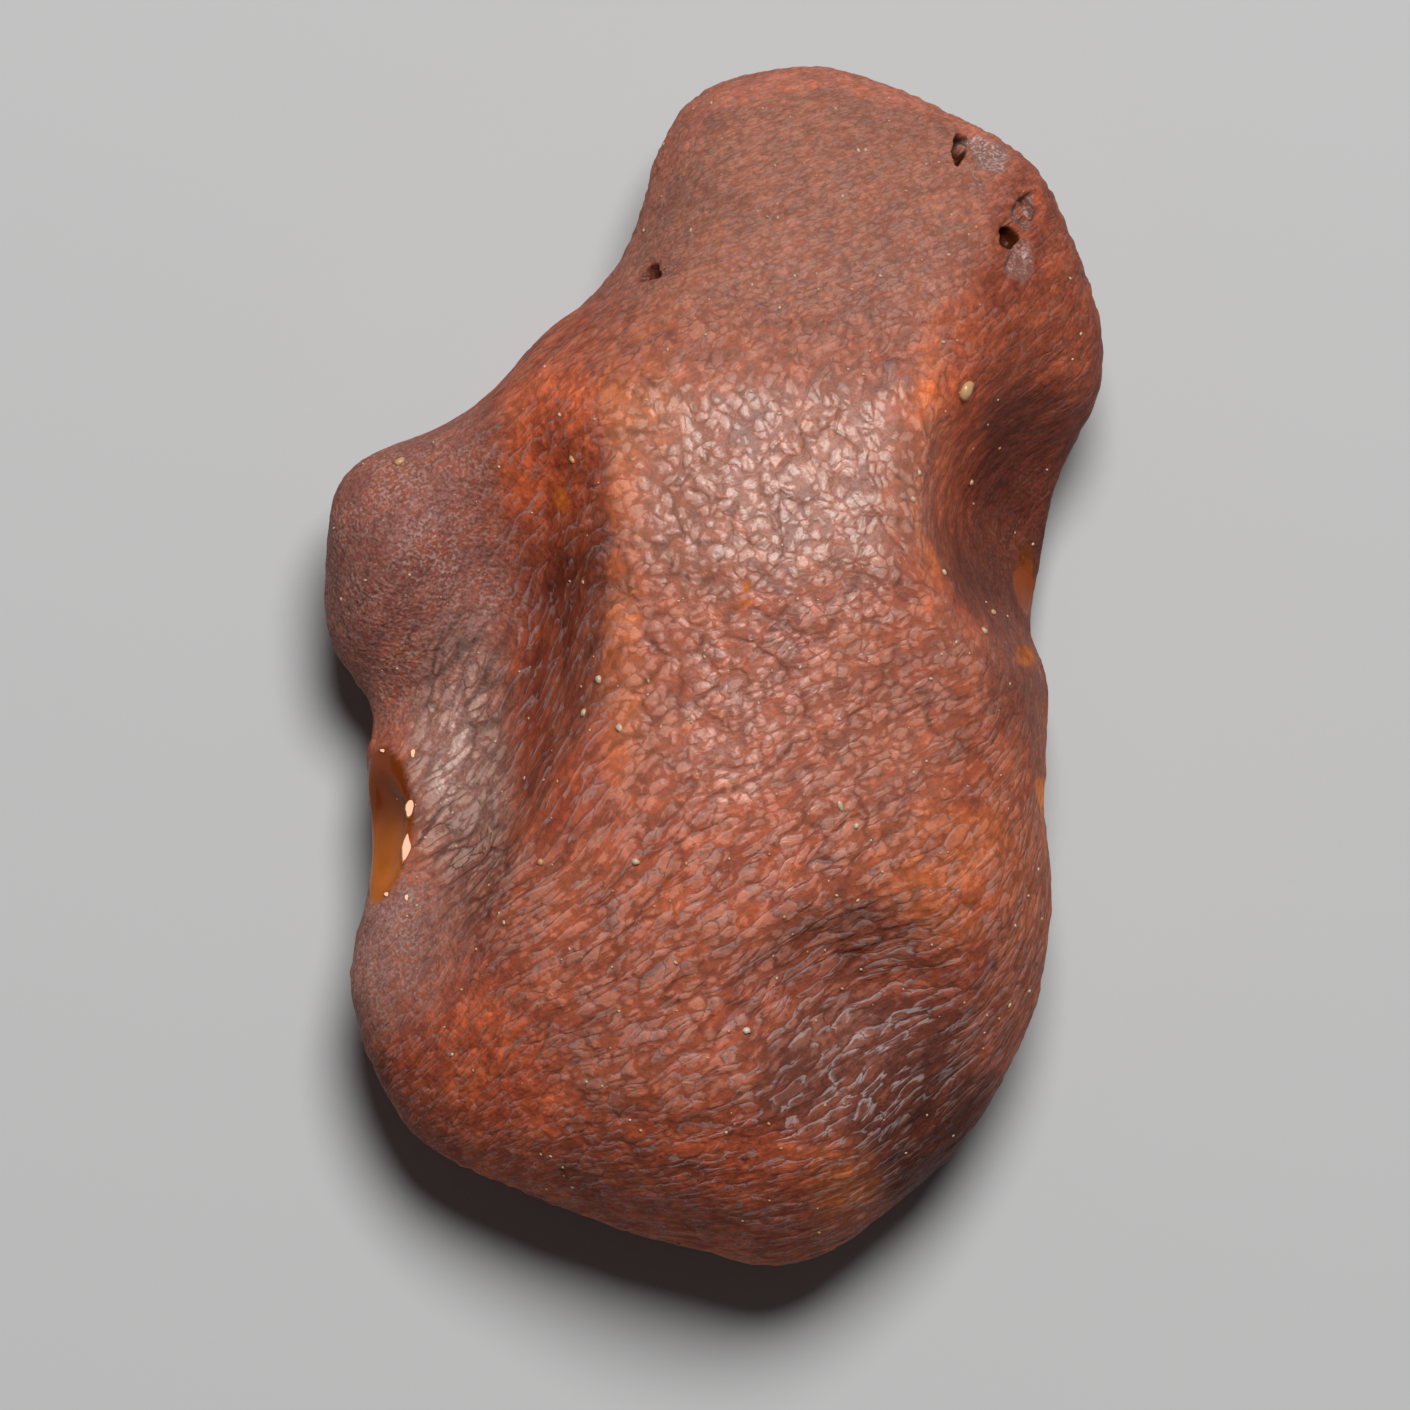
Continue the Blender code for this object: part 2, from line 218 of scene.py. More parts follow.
# The crust of each region: centre, half sizes, the direction of its scales in degrees from +X, the
# length and width of a scale, how strongly scales, granules and cracks stand out, and how pale the
# tops of its scales, their upper edges and its flecks are. The pale tops are in part bloom and in
# part a painted highlight; the pale edges and flecks are in part bloom and dust and in part painted
# sheen
CRUST_REGIONS = {
    "end_facet": ((2.5, 15.5), (5.8, 4.2), 18.0, (0.30, 0.12), (0.45, 1.1, 0.1), (0.60, 0.25, 0.35)),
    "brow": ((1.9, 10.3), (4.6, 1.2), 20.0, (0.60, 0.20), (0.5, 0.5, 0.4), (0.45, 0.2, 0.2)),
    "upper_crown": ((1.9, 6.0), (4.6, 3.4), 32.0, (0.42, 0.24), (0.72, 0.2, 0.6), (1.25, 0.0, 0.1)),
    "crown": ((1.9, -1.1), (5.8, 4.2), 22.0, (0.46, 0.24), (0.8, 0.3, 0.7), (0.80, 0.2, 0.1)),
    "lower_crown": ((-0.5, -9.6), (6.6, 4.6), 12.0, (0.8, 0.30), (1.0, 0.3, 0.7), (0.65, 0.6, 0.05)),
    "broad_end": ((-0.5, -16.9), (7.0, 2.6), 14.0, (0.75, 0.24), (0.8, 0.5, 0.4), (0.08, 0.75, 0.15)),
    "basin": ((4.9, -12.5), (3.6, 3.4), 28.0, (2.0, 0.42), (0.95, 0.3, 0.2), (0.06, 1.1, 0.25)),
    "broad_right": ((7.7, -15.8), (2.2, 2.0), 40.0, (0.8, 0.28), (0.7, 0.6, 0.2), (0.0, 0.1, 0.03)),
    "right_flank": ((9.9, -7.8), (2.2, 7.0), 46.0, (0.9, 0.34), (0.8, 0.3, 0.4), (0.3, 0.5, 0.03)),
    "right_lobe": ((11.2, 11.9), (2.0, 4.0), 66.0, (0.7, 0.28), (0.5, 0.5, 0.2), (0.05, 0.2, 0.25)),
    "right_corner": ((10.4, -0.4), (1.3, 2.6), 76.0, (0.5, 0.26), (0.3, 0.8, 0.1), (0.0, 0.1, 0.6)),
    "waist": ((9.6, 4.9), (2.2, 3.6), 80.0, (0.8, 0.28), (0.3, 0.6, 0.1), (0.0, 0.05, 0.25)),
    "left_lobe": ((-9.9, 3.2), (3.3, 4.2), 72.0, (0.6, 0.40), (0.4, 1.6, 0.3), (0.0, 0.1, 1.4)),
    "saddle": ((-5.4, 5.4), (1.9, 2.4), 50.0, (0.9, 0.40), (0.9, 0.3, 0.3), (0.05, 0.6, 0.05)),
    "valley": ((-8.3, -2.3), (1.5, 4.2), 76.0, (0.62, 0.50), (1.0, 0.8, 2.0), (1.15, 0.3, 0.8)),
    "wall": ((-5.3, -1.0), (1.8, 4.8), 84.0, (1.6, 0.62), (0.6, 0.3, 0.2), (0.04, 0.7, 0.1)),
    "left_flank": ((-8.5, -13.8), (3.0, 4.2), 40.0, (0.6, 0.24), (0.7, 0.6, 0.2), (0.05, 0.5, 0.1)),
    "left_bump": ((-10.8, -9.8), (2.4, 2.4), 70.0, (0.7, 0.32), (0.5, 0.9, 0.2), (0.3, 0.3, 1.6)),
}
OTHER_CRUST = (25.0, (0.7, 0.34), (0.8, 0.4, 0.4), (0.2, 0.35, 0.1))

# The columns of the crust's values at a point
DIRECTION, LENGTH, WIDTH, SCALES, GRANULES, CRACKS, TOPS, LIPS, FLECKS = range(9)

# The edge of the loaf, the tall middle of the nodule, counter-clockwise from its right side
LOAF_EDGE = (
    (9.9, -0.2), (8.1, 2.2), (6.8, 4.4), (6.7, 6.4), (7.6, 8.8), (8.0, 11.0), (8.7, 13.4),
    (9.0, 16.0), (8.0, 18.0), (3.6, 19.2), (0.0, 18.4), (-1.6, 15.6), (-3.2, 12.2), (-3.9, 9.0),
    (-3.4, 6.6), (-3.5, 3.6), (-3.6, 0.8), (-4.3, -2.0), (-5.8, -4.8), (-7.2, -7.4), (-7.9, -10.4),
    (-8.4, -13.6), (-6.6, -16.2), (-2.4, -17.8), (1.8, -18.8), (5.2, -17.2), (7.8, -14.6),
    (9.4, -11.6), (10.3, -8.0), (10.4, -4.2),
)  # fmt: skip
LOAF_BRINK = (-0.12, 0.10)  # where its tone starts outside the edge and is full inside

# The tone of each region, with painted light and shade: centre, half sizes, which side of the loaf's
# edge it is on, tone and painted light (in part the crust's own tone, in part painted shade on the
# slopes, hollows and sides that face away from the lamp and painted light on those that face it),
# painted glow and gloss
TONES_AND_PAINTED_LIGHT = {
    "end_facet": ((2.5, 15.5), (6.2, 4.4), "loaf", 0.43, 0.25, 0.12),
    "brow": ((1.9, 10.6), (5.2, 1.7), "loaf", 0.60, 0.2, 0.1),
    "brow_corner": ((-2.2, 8.6), (1.4, 1.4), "loaf", 0.90, 0.8, 0.3),
    "upper_crown": ((1.9, 6.0), (4.0, 3.2), "loaf", 0.64, 0.1, 1.0),
    "left_brink": ((-3.0, 2.4), (0.6, 6.0), "loaf", 1.12, 0.5, 0.2),
    "right_brink": ((7.1, 6.8), (0.5, 4.2), "loaf", 1.20, 0.5, 0.1),
    # Painted shadow of the right lobe over the top of the waist, and painted shade further down it
    "waist_painted_shadow": ((10.5, 7.0), (2.0, 2.4), "skirt", 0.34, 0.0, 0.1),
    "waist": ((9.9, 4.0), (2.2, 2.6), "skirt", 0.12, 0.0, 0.1),
    # Painted shade on the right corner
    "right_corner": ((10.4, -0.2), (1.2, 2.4), "any", 0.36, 0.1, 0.1),
    "waist_slope": ((8.0, 8.2), (1.0, 3.4), "skirt", 1.30, 0.1, 0.0),
    "right_lobe": ((11.2, 12.4), (3.2, 4.4), "skirt", 0.60, 0.12, 0.0),
    "wall": ((-4.9, -0.2), (1.7, 5.6), "skirt", 0.62, 0.0, 0.35),
    "wall_foot": ((-7.5, -7.8), (0.8, 2.2), "skirt", 0.60, 0.0, 0.1),
    "valley": ((-8.4, -2.5), (1.5, 3.8), "skirt", 0.34, 0.0, 0.7),
    "left_lobe": ((-10.0, 2.8), (3.2, 3.6), "skirt", 0.38, 0.0, 0.2),
    "lobe_top": ((-9.4, 7.0), (2.8, 1.4), "skirt", 0.46, 0.1, 0.2),
    "shoulder": ((-5.2, 7.0), (1.5, 2.6), "skirt", 1.50, 0.08, 0.2),
    "lower_crown": ((-1.4, -9.4), (4.6, 4.4), "loaf", 1.05, 0.1, 0.8),
    "left_flank": ((-7.4, -13.2), (3.0, 3.6), "any", 1.20, 0.08, 0.1),
    "left_edge": ((-10.6, -15.0), (2.0, 3.6), "any", 0.50, 0.0, 0.1),
    "basin_wall": ((4.2, -9.7), (3.2, 1.3), "loaf", 0.80, 0.0, 0.1),
    "basin": ((4.9, -13.2), (3.2, 2.6), "loaf", 0.24, 0.0, 0.35),
    "basin_brink": ((7.7, -6.8), (1.8, 2.0), "any", 0.90, 0.5, 0.3),
    "right_flank": ((10.6, -5.4), (1.4, 5.2), "any", 0.84, 0.3, 0.0),
    # Painted shade on the low right side of the broad end, beside the floor
    "broad_right": ((7.3, -15.9), (2.6, 2.3), "any", 0.12, 0.0, 0.0),
    "broad_glow": ((4.4, -17.0), (1.2, 1.2), "any", 1.00, 0.8, 0.2),
    "broad_end": ((-1.6, -17.9), (4.6, 2.4), "any", 1.00, 0.05, 0.1),
    "left_bump": ((-10.8, -9.8), (1.8, 2.0), "any", 0.50, 0.0, 0.4),
}
OTHER_TONE = (0.82, 0.1, 0.65)
TONE_AND_PAINTED_LIGHT, GLOW, GLOSS = range(3)
CRUST_BLEND = 0.06  # weight of the values elsewhere, against 1 in the middle of a region
TONE_BLEND = 0.25


def values_between(points, regions, elsewhere, floor_weight, sides=None):
    """The values of a table of regions at each point, blended from region to region."""
    total = np.full(len(points), floor_weight)
    values = np.outer(total, np.hstack(elsewhere))
    for centre, half_sizes, *row in regions.values():
        weight = within(points, centre, half_sizes)
        if sides:
            weight = weight * sides[row.pop(0)]
        total += weight
        values += np.outer(weight, np.hstack(row))
    return values / total[:, None]


def distance_inside(points, outline):
    """How far each point is inside an outline seen from above; negative outside."""
    x, y = points[:, 0], points[:, 1]
    nearest = np.full(len(points), 1e9)
    crossings = np.zeros(len(points), dtype=int)
    for (ax, ay), (bx, by) in zip(outline, outline[1:] + outline[:1]):
        along = np.clip(
            ((x - ax) * (bx - ax) + (y - ay) * (by - ay)) / ((bx - ax) ** 2 + (by - ay) ** 2), 0, 1
        )
        gap = np.hypot(x - ax - along * (bx - ax), y - ay - along * (by - ay))
        nearest = np.minimum(nearest, gap)
        if ay != by:
            crossings += ((ay > y) != (by > y)) & (x < ax + (y - ay) / (by - ay) * (bx - ax))
    return np.where(crossings % 2 == 1, nearest, -nearest)


values = values_between(points, CRUST_REGIONS, OTHER_CRUST, CRUST_BLEND)
on_loaf = smooth_step(distance_inside(points, LOAF_EDGE), *LOAF_BRINK)
sides = {"loaf": on_loaf, "skirt": 1.0 - on_loaf, "any": 1.0}
tones_and_painted_light = values_between(points, TONES_AND_PAINTED_LIGHT, OTHER_TONE, TONE_BLEND, sides)

# The run of the scales over the surface
GRAIN_STEPS = 500
FOLD_FLOOR = 0.3  # keeps the fold of a direction finite where the surface faces down
UNDERSIDE = (-0.6, -0.3)  # upward part of a normal, from where an edge counts to where it does fully
SLACK = 0.002  # what an edge still counts underneath
UNDER_BLEND = (0.3, 0.62)  # downward part, over which the pattern of the underside takes over


def grain_coordinates(points, normals, edges, values):
    """Two coordinates that run along and across the scales and count them.

    Their slopes follow the direction and sizes of the scales as closely as they can all round the
    top and the sides. Nothing is asked of them underneath.
    """
    angle = np.radians(values[:, DIRECTION])
    level = np.stack([np.cos(angle), np.sin(angle), np.zeros(len(points))], axis=1)
    fold = np.sum(level * normals, axis=1) / np.maximum(1.0 + normals[:, 2], FOLD_FLOOR)
    along = level - fold[:, None] * (normals + (0.0, 0.0, 1.0))
    along -= np.sum(along * normals, axis=1)[:, None] * normals
    along /= np.linalg.norm(along, axis=1)[:, None]
    across = np.cross(normals, along)
    slopes = np.stack([along / values[:, [LENGTH]], across / values[:, [WIDTH]]], axis=1)

    start, end = edges.T
    step = points[end] - points[start]
    mean_slope = (slopes[start] + slopes[end]) / 2
    wanted = np.einsum("eij,ej->ei", mean_slope, step)
    weights = smooth_step((normals[start, 2] + normals[end, 2]) / 2, *UNDERSIDE) + SLACK
    pull = np.zeros((len(points), 2))
    for number in range(2):
        pull[:, number] = np.bincount(end, weights * wanted[:, number], len(points))
        pull[:, number] -= np.bincount(start, weights * wanted[:, number], len(points))
    stiffness = np.bincount(start, weights, len(points)) + np.bincount(end, weights, len(points))
    stiffness = stiffness[:, None]

    grain = np.einsum("nij,nj->ni", slopes.mean(axis=0)[None].repeat(len(points), 0), points)
    rest = pull - (stiffness * grain - sum_of_neighbours(grain, edges, weights))
    move = rest / stiffness
    pull_left = np.sum(rest * move, axis=0)
    for _ in range(GRAIN_STEPS):
        effect = stiffness * move - sum_of_neighbours(move, edges, weights)
        share = pull_left / np.sum(move * effect, axis=0)
        grain += share * move
        rest -= share * effect
        eased = rest / stiffness
        new_pull_left = np.sum(rest * eased, axis=0)
        move = eased + new_pull_left / pull_left * move
        pull_left = new_pull_left
    return grain


grain = grain_coordinates(points, broad_normals, edges, values)
under = smooth_step(-broad_normals[:, 2], *UNDER_BLEND)

# Small marks: centre, half sizes, turn in degrees, depth, and how they change tone and painted light,
# glow, gloss and flecks. The holes, pits and scar are darker inside, as painted shade; the spots, the
# streak, the window and the flake are brighter and glow orange, as painted glow of light through thin
# resin
MARKS = {
    "end_hole": ((8.17, 17.15), (0.27, 0.60), -8.0, 0.50, 0.20, 0.0, 0.2, 0.0),
    "end_scar": ((9.10, 17.00), (0.85, 0.55), -38.0, 0.22, 0.42, 0.0, 0.3, 2.4),
    "scar_tail": ((8.85, 15.85), (0.24, 0.60), 30.0, 0.08, 0.85, 0.0, 0.2, 1.6),
    "long_pit": ((10.28, 15.05), (0.42, 0.66), -8.0, 0.30, 0.55, 0.0, 0.6, 1.6),
    "round_hole": ((9.75, 14.15), (0.34, 0.38), 0.0, 0.45, 0.25, 0.0, 0.2, 0.0),
    "low_pit": ((10.15, 13.35), (0.50, 0.76), -5.0, 0.26, 0.60, 0.0, 0.9, 1.6),
    "small_pit": ((-2.10, 12.95), (0.42, 0.26), 35.0, 0.20, 0.50, 0.0, 0.2, 0.2),
    "crown_spot": ((1.08, 2.55), (0.22, 0.19), 0.0, 0.03, 1.15, 1.2, -0.8, 0.0),
    "crown_streak": ((1.20, 1.98), (0.50, 0.09), -6.0, 0.03, 1.05, 1.0, -0.8, 0.0),
    "shoulder_spot": ((-5.02, 5.45), (0.30, 0.42), 10.0, 0.0, 1.15, 0.8, 0.0, 0.0),
    "right_window": ((10.50, 2.85), (0.34, 1.35), 8.0, 0.0, 1.2, 0.7, 0.0, 0.0),
    "right_spot": ((10.90, -4.15), (0.26, 0.55), 12.0, 0.0, 1.5, 1.2, 0.0, 0.0),
    "right_flake": ((10.35, 0.32), (0.34, 0.42), 40.0, 0.0, 1.7, 0.9, 0.6, 0.0),
}
MARK_EDGE = (0.72, 1.08)  # where a mark's colour fades, as a share of its half sizes
MARK_SLOPE = (0.35, 1.0)  # where its hollow rises
MARK_RIM = (1.12, 0.16, 0.10)  # place, width and height of the rim, the height as a share of depth
SMOOTHED = 0.7  # share of the scales' relief that a mark takes away


def reach_of_mark(points, normals, centre, half_sizes, turn):
    """How far each point is from the middle of an uneven oval mark, whose edge is at 1."""
    angle = math.radians(turn)
    apart = points[:, :2] - centre
    along = apart @ (math.cos(angle), math.sin(angle)) / half_sizes[0]
    across = apart @ (-math.sin(angle), math.cos(angle)) / half_sizes[1]
    around = np.arctan2(across, along)
    bulge = 0.10 * np.sin(3 * around + centre[0] * 5) + 0.07 * np.sin(5 * around + centre[1] * 7)
    reach = np.hypot(along, across) * (1.0 + bulge)
    return np.where(normals[:, 2] > 0.0, reach, 9.0)


sunk = np.zeros(len(points))
for centre, half_sizes, turn, depth, tone_and_painted_light, glow, gloss, flecks in MARKS.values():
    reach = reach_of_mark(points, normals, centre, half_sizes, turn)
    inside = 1.0 - smooth_step(reach, *MARK_EDGE)
    hollow = 1.0 - smooth_step(reach, *MARK_SLOPE)
    rim_reach, rim_width, rim_height = MARK_RIM
    rim = rim_height * np.exp(-(((reach - rim_reach) / rim_width) ** 2))
    sunk = np.maximum(sunk, depth * hollow) - depth * rim * (sunk <= 0)
    tones_and_painted_light[:, TONE_AND_PAINTED_LIGHT] *= 1.0 + (tone_and_painted_light - 1.0) * inside
    tones_and_painted_light[:, GLOW] += (glow - tones_and_painted_light[:, GLOW]) * inside * (glow > 0)
    tones_and_painted_light[:, GLOSS] = np.maximum(tones_and_painted_light[:, GLOSS] + gloss * inside, 0.0)
    values[:, SCALES] *= 1.0 - SMOOTHED * inside
    values[:, [TOPS, LIPS]] *= 1.0 - inside[:, None]
    values[:, FLECKS] += (flecks - values[:, FLECKS]) * inside
points -= sunk[:, None] * broad_normals
surface.vertices.foreach_set("co", points.ravel())
surface.update()

# What the relief and the colours read at each point
FRAY = (0.2, 0.42, 1.2)  # how ragged every scale is, how much more with pale edges, and up to which
CHIP_SHADE = (4.6, 6.4)  # from here to here towards the broad end, the clear resin brightens


def add_attribute(mesh, name, values):
    """Store a number or a row of three for each point of a mesh."""
    kind, field = ("FLOAT", "value") if values.ndim == 1 else ("FLOAT_VECTOR", "vector")
    layer = mesh.attributes.new(name, kind, "POINT")
    layer.data.foreach_set(field, values.astype(np.float32).ravel())


fray = FRAY[0] + FRAY[1] * np.clip(values[:, LIPS], 0.0, FRAY[2])
add_attribute(surface, "grain", np.column_stack([grain, under]))
add_attribute(surface, "strengths", np.column_stack([values[:, [SCALES, GRANULES]], fray]))
add_attribute(surface, "cracks", values[:, CRACKS])
add_attribute(surface, "pale", values[:, [TOPS, LIPS, FLECKS]])
add_attribute(surface, "fresh", fresh)
add_attribute(surface, "melt", smooth_step(-points[:, 1], *CHIP_SHADE))
add_attribute(surface, "tones_and_painted_light", tones_and_painted_light)

# The relief of the crust, in millimetres. Scales, cracks and broad lumps are raised in the mesh. The
# material's bump sharpens the scales and cracks, and adds granules and wrinkles too fine for a mesh.
SCALE_HEIGHT = 0.033
SCALE_FALL = (0.05, 0.70)  # where a scale's top starts to fall and ends, in scales from its middle
SCALE_LEAN = 0.7  # how much higher its upper edge is
BRINK_WIDTH = 0.30
BRINK_HEIGHT = 0.15  # how much a scale rises from its very edge over the width of the brink
LOWEST_SCALE = 0.4  # height of the lowest scale, as a share of the tallest
PLAINNESS = (0.36, 0.56, 0.35, 1.0)  # a slow change, from and to, and how plain the scales are there
CRACK_DEPTH = 0.03
CRACK_CELLS = 0.30  # cracked plates for each scale, along and across
CRACK_WIDTH = 0.11
PLATE_GAP = 0.09  # width of the gap between the plates of a strongly cracked crust
GRANULE_HEIGHT = 0.054
GRANULES_PER_METRE = 5000.0
FEWEST_GRANULES = 0.15
WRINKLE_HEIGHT = 0.020
WRINKLES_PER_SCALE = 1.6
WRINKLE_SQUASH = (1.0, 2.0, 0.0)  # they run along the scales
LUMP_HEIGHT = 0.26
LUMPS_PER_SCALE = 0.40
MIDDLE_HEIGHT = SCALE_HEIGHT * 0.7 + LUMP_HEIGHT * 0.5  # this much relief leaves a point in place
RAISED_SHARE = 0.8  # share of the full relief that the mesh takes
HALVES = (0.5, 0.5, 0.5)  # the middle of a random colour


def make_node(tree, kind, inputs=None, **settings):
    """Add a node, set it up, and link or fill its inputs."""
    node = tree.nodes.new(kind)
    for name, value in settings.items():
        setattr(node, name, value)
    for key, value in (inputs or {}).items():
        if isinstance(value, bpy.types.NodeSocket):
            tree.links.new(value, node.inputs[key])
        else:
            node.inputs[key].default_value = value
    return node


def calc(tree, operation, *values):
    """A number worked out by a node."""
    node = make_node(tree, "ShaderNodeMath", dict(enumerate(values)), operation=operation)
    return node.outputs[0]


def product(tree, first, *others):
    """The product of some numbers."""
    for other in others:
        first = calc(tree, "MULTIPLY", first, other)
    return first


def shift(tree, operation, *values):
    """A vector worked out by a node."""
    node = make_node(tree, "ShaderNodeVectorMath", dict(enumerate(values)), operation=operation)
    return node.outputs[0]


def scaled(tree, vector, amount):
    """A vector or a colour times a number."""
    inputs = {0: vector, 3: amount}
    return make_node(tree, "ShaderNodeVectorMath", inputs, operation="SCALE").outputs[0]


def parts_of(tree, vector):
    """The three numbers of a vector."""
    return make_node(tree, "ShaderNodeSeparateXYZ", {0: vector}).outputs


def joined(tree, *numbers):
    """A vector of three numbers."""
    return make_node(tree, "ShaderNodeCombineXYZ", dict(enumerate(numbers))).outputs[0]


def ramp(tree, value, low, high, start=0.0, end=1.0):
    """A value turned into another range, with soft ends."""
    inputs = dict(enumerate((value, low, high, start, end)))
    return make_node(
        tree, "ShaderNodeMapRange", inputs, interpolation_type="SMOOTHSTEP"
    ).outputs[0]


def blend(tree, factor, first, second):
    """A mix of two colours or vectors."""
    inputs = {0: factor, 6: first, 7: second}
    return make_node(tree, "ShaderNodeMix", inputs, data_type="RGBA").outputs[2]


def noise_at(tree, place, scale, detail=2.0, output=0, dimensions="3D", roughness=0.5):
    """A soft random value, or with output 1 a random colour."""
    inputs = {"Vector": place, "Scale": scale, "Detail": detail, "Roughness": roughness}
    node = make_node(tree, "ShaderNodeTexNoise", inputs, noise_dimensions=dimensions)
    return node.outputs[output]


def cells_at(tree, place, scale, feature, randomness=0.9):
    """A pattern of cells, one for each scale of the crust."""
    inputs = {"Vector": place, "Scale": scale, "Randomness": randomness}
    return make_node(
        tree, "ShaderNodeTexVoronoi", inputs, voronoi_dimensions="2D", feature=feature
    ).outputs


def crust_relief(tree, weave, strengths, drift, place, fine):
    """The height of the crust in millimetres, and the parts of its pattern."""
    seam = parts_of(tree, weave)[2]
    scale_share, granule_share, fray = parts_of(tree, strengths)
    patches, presence, cracked = parts_of(tree, drift)

    streaks = shift(tree, "MULTIPLY", weave, WRINKLE_SQUASH)
    wrinkles, crumple = make_node(
        tree,
        "ShaderNodeTexNoise",
        {"Vector": streaks, "Scale": WRINKLES_PER_SCALE, "Detail": 2.0, "Roughness": 0.6},
        noise_dimensions="2D",
    ).outputs
    crumple = shift(tree, "SUBTRACT", crumple, HALVES)
    frayed = shift(tree, "ADD", weave, scaled(tree, crumple, fray))
    edge = cells_at(tree, frayed, 1.0, "DISTANCE_TO_EDGE")["Distance"]
    cell = cells_at(tree, frayed, 1.0, "F1")
    tint = parts_of(tree, cell["Color"])
    lean = parts_of(tree, shift(tree, "SUBTRACT", frayed, cell["Position"]))[1]

    dome = ramp(tree, cell["Distance"], *SCALE_FALL, 1.0, 0.0)
    dome = calc(tree, "MULTIPLY_ADD", ramp(tree, edge, 0.0, BRINK_WIDTH), BRINK_HEIGHT, dome)
    tallness = calc(tree, "MULTIPLY_ADD", tint[0], 1.0 - LOWEST_SCALE, LOWEST_SCALE)
    dome = calc(tree, "MULTIPLY_ADD", lean, SCALE_LEAN, product(tree, dome, tallness))
    shown = product(tree, ramp(tree, presence, *PLAINNESS), seam)
    scales = product(tree, dome, shown, scale_share)

    crack_edge = cells_at(tree, weave, CRACK_CELLS, "DISTANCE_TO_EDGE", 1.0)["Distance"]
    crack = ramp(tree, crack_edge, 0.0, CRACK_WIDTH, 1.0, 0.0)
    crack = product(tree, crack, cracked, seam)
    plated = calc(tree, "MAXIMUM", calc(tree, "SUBTRACT", cracked, 1.0), 0.0)
    plated = product(tree, ramp(tree, edge, 0.0, PLATE_GAP, 1.0, 0.0), plated)
    crack = calc(tree, "MINIMUM", calc(tree, "MAXIMUM", crack, plated), 1.0)

    height = product(tree, scales, SCALE_HEIGHT)
    height = calc(tree, "MULTIPLY_ADD", crack, -CRACK_DEPTH, height)
    if fine:
        granules = noise_at(tree, place, GRANULES_PER_METRE, 1.0, roughness=0.6)
        granules = product(tree, granules, calc(tree, "ADD", granule_share, FEWEST_GRANULES))
        height = calc(tree, "MULTIPLY_ADD", granules, GRANULE_HEIGHT, height)
        height = calc(tree, "MULTIPLY_ADD", wrinkles, WRINKLE_HEIGHT, height)
    else:
        lumps = noise_at(tree, weave, LUMPS_PER_SCALE, dimensions="2D")
        height = calc(tree, "MULTIPLY_ADD", lumps, LUMP_HEIGHT, height)
    return {
        "height": height,
        "edge": edge,
        "middle": cell["Distance"],
        "lean": lean,
        "tint": tint,
        "crack": crack,
        "patches": patches,
        "presence": presence,
        "plain": calc(tree, "SUBTRACT", 1.0, calc(tree, "MINIMUM", scale_share, 1.0)),
    }


def named(tree, name, kind="FLOAT_VECTOR"):
    """An attribute of the surface, inside a modifier."""
    node = make_node(tree, "GeometryNodeInputNamedAttribute", {0: name}, data_type=kind)
    return node.outputs[0]


def stored(tree, geometry, name, value):
    """Store a vector for each point of the surface, inside a modifier."""
    node = make_node(
        tree,
        "GeometryNodeStoreNamedAttribute",
        {"Geometry": geometry, "Name": name},
        data_type="FLOAT_VECTOR",
        domain="POINT",
    )
    tree.links.new(value, node.inputs["Value"])
    return node.outputs[0]


# The patterns that the crust follows, counted along the scales where nothing else is said
UNDER_SCALES = (1400.0, 2400.0, 0.0)  # for each metre, along and across, on the underside
SEAM_WIDTH = 0.3  # the scales fade this far to each side of the seam between the two patterns
BENDS_PER_SCALE = 0.6
BEND = (1.6, 1.6, 0.0)  # how far the rows of scales wander, in scales
PATCHES_PER_METRE = 620.0
PRESENCE_PER_SCALE = 0.7
PRESENCE_ASIDE = (31.7, 8.3, 0.0)  # so that it doesn't follow the bends
CRACKED_PER_SCALE = 0.13
CRACKED = (0.38, 0.56)  # where the crust starts to be cracked and is fully so


def woven(tree, place):
    """Where each point is in the pattern of scales, and how plainly the pattern shows there."""
    grain = named(tree, "grain")
    under = parts_of(tree, grain)[2]
    flat = shift(tree, "MULTIPLY", place, UNDER_SCALES)
    inputs = {0: calc(tree, "GREATER_THAN", under, 0.5), 4: grain, 5: flat}
    chosen = make_node(tree, "ShaderNodeMix", inputs, data_type="VECTOR").outputs[1]
    seam = calc(tree, "ABSOLUTE", calc(tree, "SUBTRACT", under, 0.5))
    seam = ramp(tree, seam, 0.0, SEAM_WIDTH)
    bend = noise_at(tree, chosen, BENDS_PER_SCALE, output=1, dimensions="2D")
    bend = shift(tree, "MULTIPLY", shift(tree, "SUBTRACT", bend, HALVES), BEND)
    bent = parts_of(tree, shift(tree, "ADD", chosen, bend))
    return chosen, joined(tree, bent[0], bent[1], seam)


def drifting(tree, place, chosen):
    """Slow changes over the crust: its patches, how plain its scales are and how cracked it is."""
    patches = noise_at(tree, place, PATCHES_PER_METRE, 3.0, roughness=0.6)
    aside = shift(tree, "ADD", chosen, PRESENCE_ASIDE)
    presence = noise_at(tree, aside, PRESENCE_PER_SCALE, 1.0, dimensions="2D")
    cracked = noise_at(tree, chosen, CRACKED_PER_SCALE, 1.0, dimensions="2D")
    cracked = product(tree, ramp(tree, cracked, *CRACKED), named(tree, "cracks", "FLOAT"))
    return joined(tree, patches, presence, cracked)


